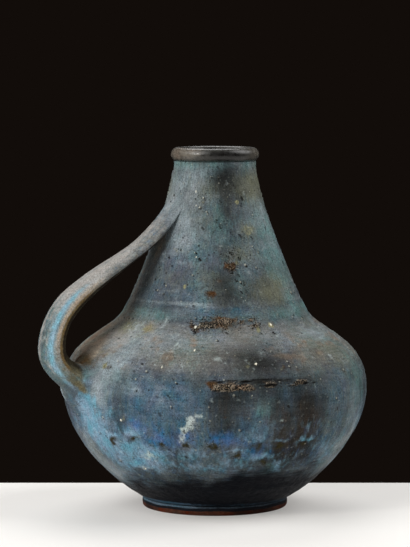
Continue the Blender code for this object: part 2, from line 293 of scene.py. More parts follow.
def cracks(places, points):
    """The two broken lines where the belly's seam opened, one over the other: level bands that
    waver up and down by a cloud and come and go with it."""
    waver = cloud(points, 8 * MM, 3, shift=83.0)
    wavered = places[0], places[1], places[2] + CRACK_WAVER * waver
    upper = band(wavered, *UPPER_CRACK, fade=5) * (1.0 + 0.6 * waver)
    lower = band(wavered, *LOWER_CRACK, fade=5) * (1.0 - 0.7 * waver)
    return np.maximum(upper, 0.0) + np.maximum(lower, 0.0)


def crusts(places, points):
    """The broken, gritty crusts on the seams, 0 where smooth: level bands cut up by a cloud."""
    ragged = np.maximum(cloud(points, (7.0 * MM, 7.0 * MM, 3.5 * MM), 3, shift=9.2) + 0.35, 0.0)
    upper = band(places, -14, 28, 128.0, 4.0) + band(places, 120, 160, 126.0, 3.0)
    lower = band(places, -2, 16, 92.0, 3.0, fade=4) + band(places, -160, -130, 93.0, 2.6)
    lower = lower + 1.5 * band(places, 16, 38, 92.4, 1.7, fade=6)
    return 1.8 * (ragged * upper + (ragged + 0.15) * lower)


NECK_GROOVE = 140.0  # height in mm of the line over the neck's joint
NECK_RINGS = (209.0, 205.5, 194.0, 171.0, 166.5, 152.0, 148.0)  # heights in mm of raised throwing rings


def neck_rings(places, points):
    """The neck's raised throwing rings, 0 where smooth: thin level bands broken up by a cloud."""
    broken = np.maximum(cloud(points, (9 * MM, 9 * MM, 6 * MM), 2, shift=29.0) + 0.2, 0.0)
    return broken * sum(band(places, -180, 180, level, 0.8) for level in NECK_RINGS)


# How far each feature of the skin stands off or sinks in, in mm.
LUMP_LIFT = 0.40
WHEEL_LIFT = 0.16
GRAIN_LIFT = 0.16
CRUST_LIFT = 0.80
RING_LIFT = 0.55
CRACK_DEPTH = 0.70
GROOVE_DEPTH = 0.35


def relief(places, points):
    """How far the glazed skin stands off the turned outline, in metres: slow lumps of the thrown
    wall, wheel rings about 5 mm apart, grain, the broken crusts, the seam's cracks, the groove of
    the neck's joint, the neck's rings, the thumbed ridge, and each mark as a bell-shaped bump or pit."""
    lift = LUMP_LIFT * cloud(points, 45 * MM, 2)
    lift += WHEEL_LIFT * cloud(points, (250 * MM, 250 * MM, 5 * MM), 2, shift=3.1)
    lift += GRAIN_LIFT * cloud(points, 3.4 * MM, 2, shift=7.7)
    lift += CRUST_LIFT * crusts(places, points)
    lift -= CRACK_DEPTH * cracks(places, points)
    lift -= GROOVE_DEPTH * band(places, -180, 180, NECK_GROOVE, 0.9)
    lift += RING_LIFT * neck_rings(places, points)
    lift += placed(places, RIDGE)
    for *spot, mark_lift in MARKS:
        lift += mark_lift * patch(places, *spot, spot[-1])
    return lift * MM


# Where each glaze lies, and where light and shade are painted into the colour: (bearing in degrees, height,
# width and tallness in mm, strength).
GLAZE_SPOTS = {
    # The stone, pale, lilac and cream spots near bearing -52, height 117 are painted light: a paler
    # shoulder where the strap's shadow falls.
    "stone": [
        (-10, 113, 70, 11, 0.9), (40, 112, 40, 10, 0.9), (-60, 118, 30, 9, 0.6),
        (-52, 116, 16, 12, 0.8),
    ],
    "violet": [
        (-35, 160, 16, 11, 1.0), (-5, 166, 10, 9, 0.7), (-72, 65, 13, 24, 1.2), (-38, 145, 20, 7, 0.5),
        (15, 108, 24, 9, 0.5), (-20, 116, 14, 6, 0.4),
    ],
    "blue": [
        (-32, 84, 40, 11, 0.9), (-20, 66, 36, 12, 0.9), (-30, 144, 22, 8, 0.7), (-5, 78, 20, 14, 0.4),
        (18, 135.5, 30, 3.5, 1.3), (12, 64, 14, 8, 0.5), (-14, 200, 8, 8, 0.4),
    ],
    "teal": [
        # The first teal spot, high on the neck's left, is a painted highlight, together with the pale spot
        # there.
        (-28, 220, 9, 10, 0.8), (58, 187, 12, 28, 1.1), (60, 158, 16, 12, 1.2), (48, 133, 40, 4, 0.7),
        (-45, 133, 32, 4, 0.7), (14, 151, 10, 6, 0.4), (70, 90, 12, 20, 0.7), (60, 117, 14, 4, 0.8),
        (18, 78, 7, 7, 0.8), (-44, 98, 12, 7, 0.8), (3, 192, 10, 12, 0.4), (26, 36, 6, 6, 0.9),
        (62, 50, 16, 16, 0.5), (-56, 95, 7, 4, 0.8),
    ],
    # Some pale spots are painted light: a highlight high on the neck's left (-26, 219), light on the
    # strap's downward-facing low end (-71, 86), and reflections of the table low on both sides of the belly
    # (-66, 42; -60, 28; 69, 48).
    "pale": [
        (-26, 219, 9, 9, 0.9), (-30, 197, 11, 14, 0.9), (-34, 178, 11, 8, 0.7), (-36, 117, 26, 7, 1.0),
        (-8, 139, 14, 2.0, 0.5), (-46, 103, 14, 9, 0.9), (-8, 118, 18, 4, 0.5), (62, 119, 12, 3, 0.7),
        (-68, 206, 16, 18, 0.9), (-54, 117, 14, 12, 1.2), (-66, 116, 9, 10, 0.8), (46, 118, 32, 8, 0.5),
        (52, 200, 12, 30, 0.4), (66, 205, 8, 20, 0.5), (-75, 112, 6, 14, 0.8), (-47, 93, 8, 7, 0.7),
        (-47, 80, 9, 9, 0.6), (-49, 88, 3, 5, 0.9), (-51, 82, 3, 5, 0.9), (-36, 90, 10, 6, 0.5),
        (-71, 86, 10, 7, 1.8), (-66, 42, 16, 14, 0.9), (-60, 28, 14, 8, 0.8), (69, 48, 12, 18, 1.1),
    ],
    "olive": [
        (45, 214, 16, 10, 1.0), (35, 186, 8, 6, 0.6), (42, 148, 16, 10, 0.9), (55, 108, 20, 9, 0.6),
        (-5, 214, 8, 6, 0.6), (22, 172, 12, 7, 0.8), (-60, 124, 12, 7, 0.8), (-70, 112, 12, 10, 0.9),
    ],
    # High in the neck's middle (bearings 9 to 12) the charcoal is partly painted shade, the dark middle
    # between the side lamps; elsewhere it is dark glaze.
    "charcoal": [
        (9, 220, 12, 11, 0.85), (12, 198, 12, 20, 0.45), (12, 168, 13, 18, 0.45), (20, 106, 26, 9, 0.9),
        (30, 84, 24, 12, 0.85), (34, 66, 20, 16, 0.85), (14, 147, 15, 8, 0.55), (8, 86, 20, 8, 0.8),
        (8, 68, 16, 12, 0.5), (22, 94.6, 26, 1.3, 0.8), (35, 48, 16, 10, 0.9),
    ],
    "sky": [
        (-56, 70, 7, 14, 1.3), (-45, 50, 18, 8, 0.9), (-28, 48, 16, 7, 0.9), (-8, 48, 14, 5, 0.4),
        (12, 46, 14, 4, 0.3), (-34, 38, 26, 4, 0.7), (2, 38, 20, 3.0, 0.2), (-32, 62, 9, 4, 0.6),
        (-54, 90.5, 6, 3, 0.8), (28, 37, 4, 5, 0.8), (-52, 58, 8, 12, 0.7), (-52, 80, 7, 6, 0.8),
        (-44, 74, 9, 8, 0.5), (-64, 80, 6, 6, 0.7),
    ],
    "cobalt": [
        (-21, 56, 11, 6, 0.75), (2, 57, 12, 5, 0.75), (-30, 66, 8, 5, 0.6), (-12, 60, 6, 6, 0.6),
        (16, 50, 12, 5, 0.5),
    ],
    "cream": [
        (-7, 73, 4, 2.4, 0.8), (-9, 69, 3, 3, 0.8), (-10, 66, 4, 3, 0.7), (-12, 62, 3, 4, 0.8),
        (-13, 57, 2.4, 4, 0.8), (-28, 45, 5, 3, 0.9), (-33, 36, 4, 2, 0.7), (-31, 129, 5, 4, 0.5),
        (-50, 124, 9, 4, 0.6), (-22, 112, 8, 4, 0.4),
    ],
    "straw": [
        (26, 205, 1.8, 1.4, 1.1), (36, 187, 7, 4.5, 0.7), (-22, 151, 1.1, 1.3, 1.0),
        (33, 126.5, 2, 1.6, 1.0), (-58, 123, 10, 5, 0.9), (-40, 124, 6, 4, 0.8), (-54, 108, 10, 4, 0.5),
        (-33, 174, 9, 3, 0.4), (-48, 101, 2.5, 2, 1.0), (24, 124, 2, 1.6, 0.8),
    ],
    "rust": [
        (12, 164, 4, 2.6, 1.3), (-3, 147, 5, 3.4, 0.9), (-10, 125, 4, 2.4, 0.8), (4, 129, 9, 3.4, 0.9),
        (2, 155, 4, 3, 0.7), (22, 152, 4, 3, 0.5), (-20, 163, 3, 2, 0.5), (-1, 94, 4, 1.6, 1.2),
        (5, 91.5, 9, 2.4, 0.7), (-64, 101, 8, 4.0, 1.4), (-69, 101, 8, 4.0, 1.3),
        (-55, 99, 5, 2.5, 0.5), (-46, 100, 4, 2.0, 0.7), (4, 73, 4, 5, 0.4), (30, 101, 8, 4, 0.2),
        (27, 103, 2.4, 1.6, 0.7), (57, 140, 6, 2, 0.3),
    ],
    # The earth spots under and beside the strap are painted light: a paler, warmer wall where the strap's
    # shadow falls.
    "earth_and_light": [
        (-80, 114, 12, 14, 1.0), (-76, 150, 10, 26, 0.6), (-66, 131, 7, 8, 0.5), (-38, 124, 6, 4, 0.6),
        (-60, 176, 5, 14, 0.7), (-70, 106, 8, 6, 0.6),
    ],
    "lilac": [
        (-65, 200, 14, 14, 0.6), (-52, 117, 15, 9, 0.95), (-30, 120, 14, 5, 0.6), (-64, 118, 8, 8, 0.7),
    ],
    "stain": [(8, 74, 14, 12, 0.5), (26, 62, 16, 22, 0.7), (38, 66, 14, 22, 0.6), (-2, 80, 12, 8, 0.4)],
    # Umber in the crease where the strap's low end meets the wall is painted shade.
    "umber_shade": [(-67, 99, 8, 4, 0.85), (-60, 98, 6, 2.5, 0.6)],
    # The edge spots on the wall are painted light: a paler, warmer wall in the strap's shadow.
    "edge": [(-61, 106, 9, 4, 1.2), (-67, 113, 9, 6, 1.1), (-60, 112, 8, 5, 0.6)],
    "amber": [(-61, 102, 10, 5, 0.9), (-68, 104, 8, 5, 0.7), (-52, 100, 8, 2.5, 0.5)],
    # Moss in the crease under the strap's low end is painted shade.
    "moss_and_shade": [(-57, 99, 8, 4, 0.5)],
    # The tail spots are painted shade, olive, in the wedge between the strap's tail and the belly.
    "tail_shade": [(-61 + 1.1 * k, 96.0 - 1.8 * k, 4.2 - 0.2 * k, 3.2 - 0.1 * k, 0.75) for k in range(8)],
    "crust": [
        (12, 164, 5, 3, 0.8), (-3, 147, 5, 4, 0.4), (15, 172, 8, 4, 0.4), (-18, 207, 6, 5, 0.5),
        (-48, 101, 5, 3, 0.5), (-66, 103, 9, 4, 0.4), (-9, 62, 6, 9, 0.4),
    ],
    # Glints are painted highlights: small pale dots where blisters catch the lamps.
    "glint": [
        (-24, 212, 0.6, 0.8, 0.9), (-14, 208, 0.6, 0.8, 0.7), (-22, 203, 0.6, 0.7, 0.7),
        (33, 126.5, 0.7, 0.9, 1.2), (-9, 113, 0.6, 0.7, 1.0), (16, 105, 0.7, 0.8, 1.3),
        (-21, 103, 0.7, 0.8, 0.9), (-37, 68, 0.9, 1.0, 1.0), (13, 86, 0.6, 0.7, 0.9),
        (-33, 35, 0.7, 0.8, 0.9), (-16, 170, 0.6, 0.7, 0.8), (-11, 126, 1.1, 0.8, 0.9),
    ],
}
# Ends of runs low on the belly, (bearing, height, size in mm): a brown hollow under a pale halo.
DRIPS = [
    (-44, 53, 2.6), (-21, 53, 2.4), (-12, 53, 2.0), (0, 53, 2.6), (17, 53, 2.6),
    (26, 52, 2.2), (21, 41, 2.8), (38, 52, 2.2), (-33, 57, 1.8), (8, 47, 1.8),
]
# The sides and back were dipped and fired like the front: the front's spots come again there,
# mirrored on the right-hand side and as they are on the other, a little up and down the wall.
# With them go copies of the painted highlight and shade among the pale, teal and charcoal spots; the
# painted light and shade round the strap, and the glints, stay at the front.
FRONT_ONLY = ("umber_shade", "amber", "moss_and_shade", "edge", "tail_shade", "earth_and_light", "glint", "lilac")
FRONT_LEFT, FRONT_RIGHT = -56, 52
MIRRORED_FROM, MIRRORED_UP = 145, 2
CARRIED_BACK, CARRIED_DOWN = 150, 1


def mirrored(spots):
    """The spots on the right-hand side: each bearing taken from one fixed bearing."""
    return [(MIRRORED_FROM - bearing, height + MIRRORED_UP, *rest) for bearing, height, *rest in spots]


def carried(spots):
    """The spots on the left-hand side and the back: each bearing turned by one fixed angle."""
    return [(bearing - CARRIED_BACK, height - CARRIED_DOWN, *rest) for bearing, height, *rest in spots]


for glaze_name, spots in GLAZE_SPOTS.items():
    if glaze_name not in FRONT_ONLY:
        front = [spot for spot in spots if FRONT_LEFT < spot[0] < FRONT_RIGHT]
        spots += mirrored(front) + carried(front)
DRIPS += mirrored(DRIPS[::2]) + carried(DRIPS[1::2])


THICK_BEARING = -0.9  # in radians, left of the front
THIN_SHARE = 0.48


def thick_side(places):
    """Where the glaze ran together at the foot: 1 on one side, falling to the thin share elsewhere."""
    return THIN_SHARE + (1 - THIN_SHARE) * rise(np.cos(places[0] - THICK_BEARING), 0.72, 0.95)


# Glazes that show only where they are placed, and how far below nothing they start elsewhere.
HELD_BACK = {
    "cream": 0.15, "straw": 0.20, "rust": 0.25, "stain": 0.20, "earth_and_light": 0.15, "lilac": 0.35, "edge": 0.35,
    "channel": 0.35, "umber_shade": 0.35, "moss_and_shade": 0.35, "amber": 0.35, "tail_shade": 0.35,
}
# The dark foot zone stays lower here, at both sides, where paler glaze stands for a painted reflection of
# the table, (bearing, height, width, tallness, drop in mm).
DARK_DIPS = [(-62, 25, 34, 40, 11.0), (72, 25, 24, 40, 9.0)]
BLISTER_RINGS = (207, 168, 149, 124)  # heights in mm where the glaze blistered most


def glaze_masks(places, points):
    """Strength of every glaze on the wall, about 0 to 1: its placed spots, less what holds it back
    elsewhere, plus the bands that go right round, plus soft clouds that carry the same mix round
    the sides and back."""
    height = places[2] / MM
    slow = cloud(points, 22 * MM, 3, shift=5.0)
    other = cloud(points, (16 * MM, 16 * MM, 30 * MM), 3, shift=23.0)
    masks = {name: placed(places, spots) for name, spots in GLAZE_SPOTS.items()}
    masks["channel"] = np.zeros_like(height)
    for name, amount in HELD_BACK.items():
        masks[name] -= amount

    # The slope of the shoulder, where the glaze lay thin and broke into flecks.
    slope = rise(height, 96, 106) * fall(height, 122, 132)
    flecks = cloud(points, 9 * MM, 3, shift=37.0)
    masks["stone"] += 0.5 * slope
    masks["earth_and_light"] += 0.9 * slope * np.maximum(flecks, 0.0)
    masks["straw"] += 0.7 * slope * np.maximum(flecks * slow, 0.0)
    masks["cream"] += 0.35 * slope * np.maximum(-flecks, 0.0)
    masks["violet"] += 0.5 * slope * other
    masks["teal"] -= 0.5 * slope * slow

    # The neck, streaked under the rim and pale along its rings and over its joint.
    neck = rise(height, 132, 142)
    joint = band(places, -180, 180, NECK_GROOVE + 0.6, 0.9)
    masks["teal"] += 0.7 * np.exp(-(((height - 229) / 3.0) ** 2)) + 0.40 * neck * other
    masks["pale"] += 0.15 * slow + 0.55 * joint * (0.8 + slow) + 0.6 * neck_rings(places, points)
    masks["violet"] += 0.05 + 0.35 * slow
    masks["olive"] += 0.10 - 0.25 * slow

    # The belly, washed down in upright bands, and the dark zone over the foot with its blue edge.
    belly = fall(height, 86, 98)
    washes = cloud(points, (9 * MM, 9 * MM, 80 * MM), 2, shift=71.0)
    below = fall(height, 62, 80)
    right_half = rise(np.degrees(places[0]), -40, 20)
    # The dips keep the dark zone low at both sides, so that paler glaze shows there as a painted reflection
    # of the table.
    depth = -height + 6.0 * slow + 4.0 * other + 6.0 * right_half - placed(places, DARK_DIPS)
    masks["blue"] += 0.40 * belly * rise(height, 30, 50) + 0.35 * other
    masks["charcoal"] += 0.10 - 0.25 * other + 0.5 * washes * fall(height, 84, 94)
    masks["sky"] += 0.30 * slow * below - 0.35 * (1 - below)
    masks["cobalt"] -= 0.35 * (1 - below)
    masks["dark"] = 1.9 * rise(depth, -40, -15) - 0.4
    masks["pool"] = np.exp(-(((height - 7.2) / 1.3) ** 2)) * (0.75 + 0.5 * slow) * thick_side(places)

    # The drips, their edges torn by one cloud sideways and by the same cloud upside down in height.
    masks["crust"] += crusts(places, points)
    ragged = cloud(points, 3.5 * MM, 2, shift=91.0)
    torn = places[0] + 0.025 * ragged, places[1], places[2] + 1.3 * MM * ragged[::-1]
    for bearing, level, wide in DRIPS:
        hollow = patch(torn, bearing, level, 1.4 * wide, 1.2 * wide)
        halo = patch(torn, bearing, level + 1.4 * wide, 2.4 * wide, 0.7 * wide)
        masks["moss_and_shade"] += 1.25 * hollow
        masks["cobalt"] -= 0.6 * hollow
        masks["crust"] += 0.3 * hollow
        masks["sky"] += 0.8 * halo - 1.2 * hollow

    # Crusts, cracks and marks, each with the glazes that broke or gathered on it. The crusts' tan is partly
    # painted highlight on their grains, the pits are partly painted shadow in hollows, and the grit's pale
    # specks are partly painted glints.
    crust = np.minimum(masks["crust"], 1.2)
    joint_line = band(places, -180, 180, NECK_GROOVE - 1.6, 0.5)
    masks["tan"] = 0.85 * masks["crust"] - 0.40
    masks["rust"] += 0.60 * crust
    masks["line"] = 1.3 * cracks(places, points) + 0.4 * joint_line * (0.8 + slow)
    masks["pits"] = 0.02 + 0.1 * other + 0.45 * crust
    masks["grit"] = -0.22 + 0.08 * rise(height, 92, 100) + 0.1 * slow
    # Sunk marks are darkened in their hollows, partly as painted shade.
    for *spot, lift in MARKS[:PLACED_MARKS]:
        masks["pits" if lift < 0 else "straw"] += 0.6 * patch(places, *spot, spot[-1])
    rings = sum(np.exp(-(((height - level) / 6.0) ** 2)) for level in BLISTER_RINGS)
    masks["blistered"] = rise(height, 28, 42) * np.clip(0.45 + 0.5 * other + 0.5 * rings, 0.0, 1.0)
    masks["upright"] = np.maximum(rise(height, 134, 144), fall(height, 60, 72))
    return masks


SHARP_EDGE = math.radians(65.0)


def joined(name, grid, masks, closed=False):
    """Mesh of a grid of points whose columns go round: quads between rows, the first and last row
    drawn together at their middles, or joined to each other where the shape is closed."""
    count, columns = grid.shape[:2]
    corners = np.arange(count * columns).reshape(count, columns)
    following = np.roll(corners, -1, axis=1)
    upper, upper_next = np.roll(corners, -1, axis=0), np.roll(following, -1, axis=0)
    rows = count if closed else count - 1
    faces = np.stack([corners, following, upper_next, upper], axis=-1)[:rows].reshape(-1, 4).tolist()
    points = grid.reshape(-1, 3)
    values = {key: mask.ravel() for key, mask in masks.items()}
    if not closed:
        points = np.vstack([points, grid[0].mean(axis=0), grid[-1].mean(axis=0)])
        first_pole, last_pole = count * columns, count * columns + 1
        faces += np.stack([following[0], corners[0], np.full(columns, first_pole)], axis=-1).tolist()
        faces += np.stack([corners[-1], following[-1], np.full(columns, last_pole)], axis=-1).tolist()
        values = {key: np.append(v, [v[0], v[-1]]) for key, v in values.items()}
    mesh = bpy.data.meshes.new(name)
    mesh.from_pydata(points, [], faces)
    mesh.shade_smooth()
    mesh.set_sharp_from_angle(angle=SHARP_EDGE)
    for key, value in values.items():
        attribute = mesh.attributes.new(key, "FLOAT", "POINT")
        attribute.data.foreach_set("value", value.astype(np.float32))
    piece = bpy.data.objects.new(name, mesh)
    bpy.context.scene.collection.objects.link(piece)
    return piece


def thrown_section(name, low, high, base, lining):
    """A length of the wall: the base's rows, the outline turned about the axis and lifted by the
    relief and by the clay round the handle's ends, then the lining's plain rows back down inside.
    The base is bare clay, and the lining is in the dark glaze."""
    rows, facing = wall_rows(low, high, ROW_STEP)
    plain = turned(rows)
    places = wall_places(plain)
    lift = relief(places, plain) + fillet(off_strap(plain), places[2])
    skin = plain + lift[..., None] * turned(facing)
    masks = glaze_masks(places, plain)
    masks["clay"] = np.zeros(lift.shape)
    for key, mask in masks.items():
        under = np.full((len(base), TURN_STEPS), 1.0 if key == "clay" else 0.0)
        within = np.full((len(lining), TURN_STEPS), 0.9 if key == "dark" else 0.0)
        masks[key] = np.vstack([under, mask, within])
    grid = np.vstack([turned(base), skin, turned(lining)])
    return joined(name, grid, masks, closed=len(base) == 0)


def lining_rows(high, low):
    """Rows of the plain inside, the outline sunk by the wall's thickness, from high to low."""
    rows, facing = wall_rows(high, low, LINING_STEP)
    return rows - WALL * facing


def linear(code):
    """Linear RGBA of an sRGB hex colour, by the sRGB curve."""
    parts = [int(code[k:k + 2], 16) / 255 for k in (1, 3, 5)]
    return [p / 12.92 if p <= 0.04045 else ((p + 0.055) / 1.055) ** 2.4 for p in parts] + [1.0]


def add(tree, kind, inputs, **settings):
    """Adds a node with its settings, and fills or links the named sockets."""
    node = tree.nodes.new("ShaderNode" + kind)
    for key, value in settings.items():
        setattr(node, key, value)
    for socket, value in inputs.items():
        if isinstance(value, bpy.types.NodeSocket):
            tree.links.new(value, node.inputs[socket])
        else:
            node.inputs[socket].default_value = value
    return node


# Grain of the glaze, as the size in mm of one blotch across, along and up: runs down the neck, drops
# low on the belly, wheel lines round it, and clouds, blotches and specks. They are drawn coarser
# than in life, so that they show.
GRAINS = {
    "runs": (1.5, 1.5, 15.0), "drops": (3.2, 3.2, 10.0), "lines": (12.0, 12.0, 1.2),
    "clouds": (8.0, 8.0, 8.0), "blotches": (3.2, 3.2, 3.2), "specks": (0.9, 0.9, 0.9),
}
BLISTER_CELL = 4.5 * MM  # one blister or pit at most in each such cube of the glaze
BLISTER_EDGES = (0.26, 0.12)  # in cells, where a blister starts and where it is full
SHADOW_EDGES = (0.30, 0.14)
SHADOW_BESIDE = (-0.16, 0.10, 0.20)  # in cells, from a blister to the painted shadow beside it
# Painted highlight on the tops of raised blisters, and painted shade in open pits and beside each blister.
BLISTER_HIGHLIGHT = "#a3a498"
BLISTER_SHADE = "#161411"
LAYER_SHIFT = 7.3  # from one layer's noise to the next, so that no two break up alike
NOISE_LOW, NOISE_HIGH = 0.3, 0.7  # most of a noise lies between these
TONE_LOW, TONE_HIGH = 1.05, 2.05  # most of the summed grains lie between these
DARKEST, PALEST = 0.59, 1.75  # what the tone multiplies a colour by
HUE_SWING = 0.015
DEPTH_SWING = 0.22
ROUGHNESS_SWING = 0.12
CRUST_RISE = 5.0  # how far crusts and blisters stand over the grain, in depths of the tooth
BLISTER_RISE = 3.0


def dots(tree, cells, edges):
    """A round dot in each cell of space, its size by the cell's chance, and the cell's chances."""
    cell = add(tree, "TexVoronoi", {"Vector": cells, "Scale": 1.0})
    chance = add(tree, "SeparateColor", {0: cell.outputs["Color"]}).outputs
    reach = add(tree, "Math", {0: cell.outputs["Distance"], 1: chance[0]}, operation="DIVIDE").outputs[0]
    dot = add(tree, "MapRange", {0: reach, 1: edges[0], 2: edges[1]}).outputs[0]
    blistered = add(tree, "Attribute", {}, attribute_name="blistered").outputs["Fac"]
    return add(tree, "Math", {0: dot, 1: blistered}, operation="MULTIPLY").outputs[0], chance


def glazed(name, base, layers, roughness, shine=0.03, tooth=0.45 * MM):
    """Stoneware glaze: layer colours mixed over the base by their masks, each edge broken up by
    one of the grains, then dotted with blisters and pits, the raised blisters' tops pale as a painted
    highlight, and the open pits and a dot beside each blister dark as painted shade, and toned,
    roughened and raised a little by the same grains. The mask named upright says where the tone
    runs down the wall and not round it."""
    material = bpy.data.materials.new(name)
    material.use_nodes = True
    tree = material.node_tree
    shader = tree.nodes["Principled BSDF"]
    place = add(tree, "TexCoord", {}).outputs["Object"]
    mapped = {}
    grain = {}
    for key, size in GRAINS.items():
        scale = [1 / (side * MM) for side in size]
        mapped[key] = add(tree, "Mapping", {"Vector": place, "Scale": scale}).outputs[0]
        grain[key] = add(tree, "TexNoise", {"Vector": mapped[key], "Scale": 1.0, "Detail": 3.0}).outputs[0]

    # The layers, one over another.
    colour = linear(base)
    for number, (key, code, kind, breakup, soft) in enumerate(layers):
        own = {"Vector": mapped[kind], "W": LAYER_SHIFT * (number + 1), "Scale": 1.0, "Detail": 4.0}
        noise = add(tree, "TexNoise", own, noise_dimensions="4D").outputs[0]
        mask = add(tree, "Attribute", {}, attribute_name=key).outputs["Fac"]
        broken = add(tree, "Math", {0: noise, 1: breakup, 2: mask}, operation="MULTIPLY_ADD").outputs[0]
        middle = 0.5 + breakup / 2
        limits = {0: broken, 1: middle - soft, 2: middle + soft}
        share = add(tree, "MapRange", limits, interpolation_type="SMOOTHSTEP").outputs[0]
        colour = add(tree, "Mix", {0: share, 6: colour, 7: linear(code)}, data_type="RGBA").outputs[2]

    # The blisters, half of them open pits: a painted highlight on the raised ones' tops, painted shade in
    # the pits, and a painted shadow beside each.
    cells = add(tree, "Mapping", {"Vector": place, "Scale": [1 / BLISTER_CELL] * 3}).outputs[0]
    blister, chance = dots(tree, cells, BLISTER_EDGES)
    beside = add(tree, "Mapping", {"Vector": cells, "Location": SHADOW_BESIDE}).outputs[0]
    hollow = dots(tree, beside, SHADOW_EDGES)[0]
    open_pit = add(tree, "Math", {0: chance[1], 1: 0.5}, operation="LESS_THAN").outputs[0]
    tops = {0: open_pit, 6: linear(BLISTER_HIGHLIGHT), 7: linear(BLISTER_SHADE)}
    top = add(tree, "Mix", tops, data_type="RGBA").outputs[2]
    colour = add(tree, "Mix", {0: hollow, 6: colour, 7: linear(BLISTER_SHADE)}, data_type="RGBA").outputs[2]
    colour = add(tree, "Mix", {0: blister, 6: colour, 7: top}, data_type="RGBA").outputs[2]

    # The tone, and how hue, depth of colour and roughness wander.
    upright = add(tree, "Attribute", {}, attribute_name="upright").outputs["Fac"]
    way = add(tree, "Mix", {0: upright, 2: grain["lines"], 3: grain["runs"]}).outputs[0]
    tone = grain["specks"]
    for part, weight in ((way, 0.8), (grain["specks"], 0.7), (grain["blotches"], 0.6)):
        tone = add(tree, "Math", {0: part, 1: weight, 2: tone}, operation="MULTIPLY_ADD").outputs[0]
    values = {0: tone, 1: TONE_LOW, 2: TONE_HIGH, 3: DARKEST, 4: PALEST}
    value = add(tree, "MapRange", values).outputs[0]
    hues = {0: grain["clouds"], 1: NOISE_LOW, 2: NOISE_HIGH, 3: 0.5 - HUE_SWING, 4: 0.5 + HUE_SWING}
    hue = add(tree, "MapRange", hues).outputs[0]
    depths = {0: grain["clouds"], 1: NOISE_HIGH, 2: NOISE_LOW, 3: 1 - DEPTH_SWING, 4: 1 + DEPTH_SWING}
    depth = add(tree, "MapRange", depths).outputs[0]
    shift = {"Hue": hue, "Saturation": depth, "Value": value, "Color": colour}
    toned = add(tree, "HueSaturation", shift).outputs[0]
    tree.links.new(toned, shader.inputs["Base Color"])
    spread = {0: grain["blotches"], 1: NOISE_LOW, 2: NOISE_HIGH}
    spread |= {3: roughness - ROUGHNESS_SWING, 4: roughness + ROUGHNESS_SWING}
    tree.links.new(add(tree, "MapRange", spread).outputs[0], shader.inputs["Roughness"])

    # How the surface is raised, and how it shines.
    crust = add(tree, "Attribute", {}, attribute_name="crust").outputs["Fac"]
    lumps = add(tree, "Math", {0: grain["blotches"], 1: crust}, operation="MULTIPLY").outputs[0]
    raised = add(tree, "Math", {0: lumps, 1: CRUST_RISE, 2: tone}, operation="MULTIPLY_ADD").outputs[0]
    way_up = add(tree, "MapRange", {0: open_pit, 3: BLISTER_RISE, 4: -BLISTER_RISE}).outputs[0]
    raised = add(tree, "Math", {0: blister, 1: way_up, 2: raised}, operation="MULTIPLY_ADD").outputs[0]
    bump = add(tree, "Bump", {"Strength": 0.9, "Distance": tooth, "Height": raised}).outputs[0]
    tree.links.new(bump, shader.inputs["Normal"])
    shader.inputs["IOR"].default_value = 1.5
    shader.inputs["Specular IOR Level"].default_value = shine
    shader.inputs["Sheen Weight"].default_value = 0.02
    shader.inputs["Sheen Roughness"].default_value = 0.45
    shader.inputs["Sheen Tint"].default_value = linear("#c9c6d2")
    return material


# Matt copper and cobalt glaze on stoneware: dry, mottled blue-grey that broke into teal, violet
# and rust where it lay thick or thin, with a soft sheen. Some layers also carry painted highlights,
# painted light and painted shade, as noted at each.
WALL_LAYERS = [
    ("stone", "#73716d", "clouds", 1.0, 0.70),
    ("violet", "#454a5c", "clouds", 1.2, 0.70),
    ("blue", "#344d61", "lines", 1.3, 0.65),
    ("teal", "#5c7b7d", "runs", 1.3, 0.65),
    # Pale grey-blue glaze, which in some spots is a painted highlight, painted light or a painted
    # reflection.
    ("pale", "#848f94", "clouds", 1.4, 0.65),
    ("olive", "#66685a", "runs", 1.2, 0.70),
    # Warm pale brown: glaze flecks on the shoulder, and painted light in the strap's shadow.
    ("earth_and_light", "#7d6f61", "blotches", 1.2, 0.60),
    # Dark glaze; in the neck's middle partly painted shade.
    ("charcoal", "#1c1d1c", "clouds", 0.8, 0.90),
    ("stain", "#332d27", "drops", 1.8, 0.55),
    ("sky", "#668799", "drops", 1.7, 0.50),
    ("cobalt", "#365a83", "drops", 1.7, 0.55),
    ("cream", "#9ca7a5", "blotches", 2.2, 0.45),
    ("straw", "#7c7a5c", "blotches", 1.8, 0.45),
    ("rust", "#41301f", "blotches", 2.2, 0.45),
    # Pale tan, partly painted highlight on the crusts' grains.
    ("tan", "#786c5d", "specks", 3.0, 0.35),
    ("line", "#0f0e0d", "specks", 0.8, 0.40),
    # Near black, partly painted shadow in pits and hollows.
    ("pits", "#12110e", "specks", 3.0, 0.20),
    # Pale specks, partly painted glints.
    ("grit", "#8d8c7c", "specks", 3.0, 0.20),
    # Painted highlights on the blisters.
    ("glint", "#d6d2c2", "specks", 0.3, 0.25),
    ("dark", "#05070c", "lines", 1.2, 0.70),
    ("pool", "#3e5668", "runs", 1.0, 0.35),
    ("lilac", "#8d8984", "blotches", 1.0, 0.50),
    # Pale warm tan: glaze broken thin on the strap's edges, and painted light on the wall in its shadow.
    ("edge", "#8f8272", "specks", 1.0, 0.45),
    ("channel", "#7193a2", "specks", 1.0, 0.60),
    # Near-black brown: painted shade on the strap's inner face and in the crease at its low end.
    ("umber_shade", "#1f1912", "blotches", 0.9, 0.45),
    # Dark olive: the brown ends of the drips, and painted shade on the strap's inner face and in its
    # crease.
    ("moss_and_shade", "#2b2818", "blotches", 1.2, 0.40),
    ("amber", "#62543a", "specks", 1.0, 0.45),
    # Olive: painted shade in the wedge between the strap's tail and the belly.
    ("tail_shade", "#565240", "blotches", 1.4, 0.55),
    ("clay", "#4a2a1e", "blotches", 0.2, 0.30),
]
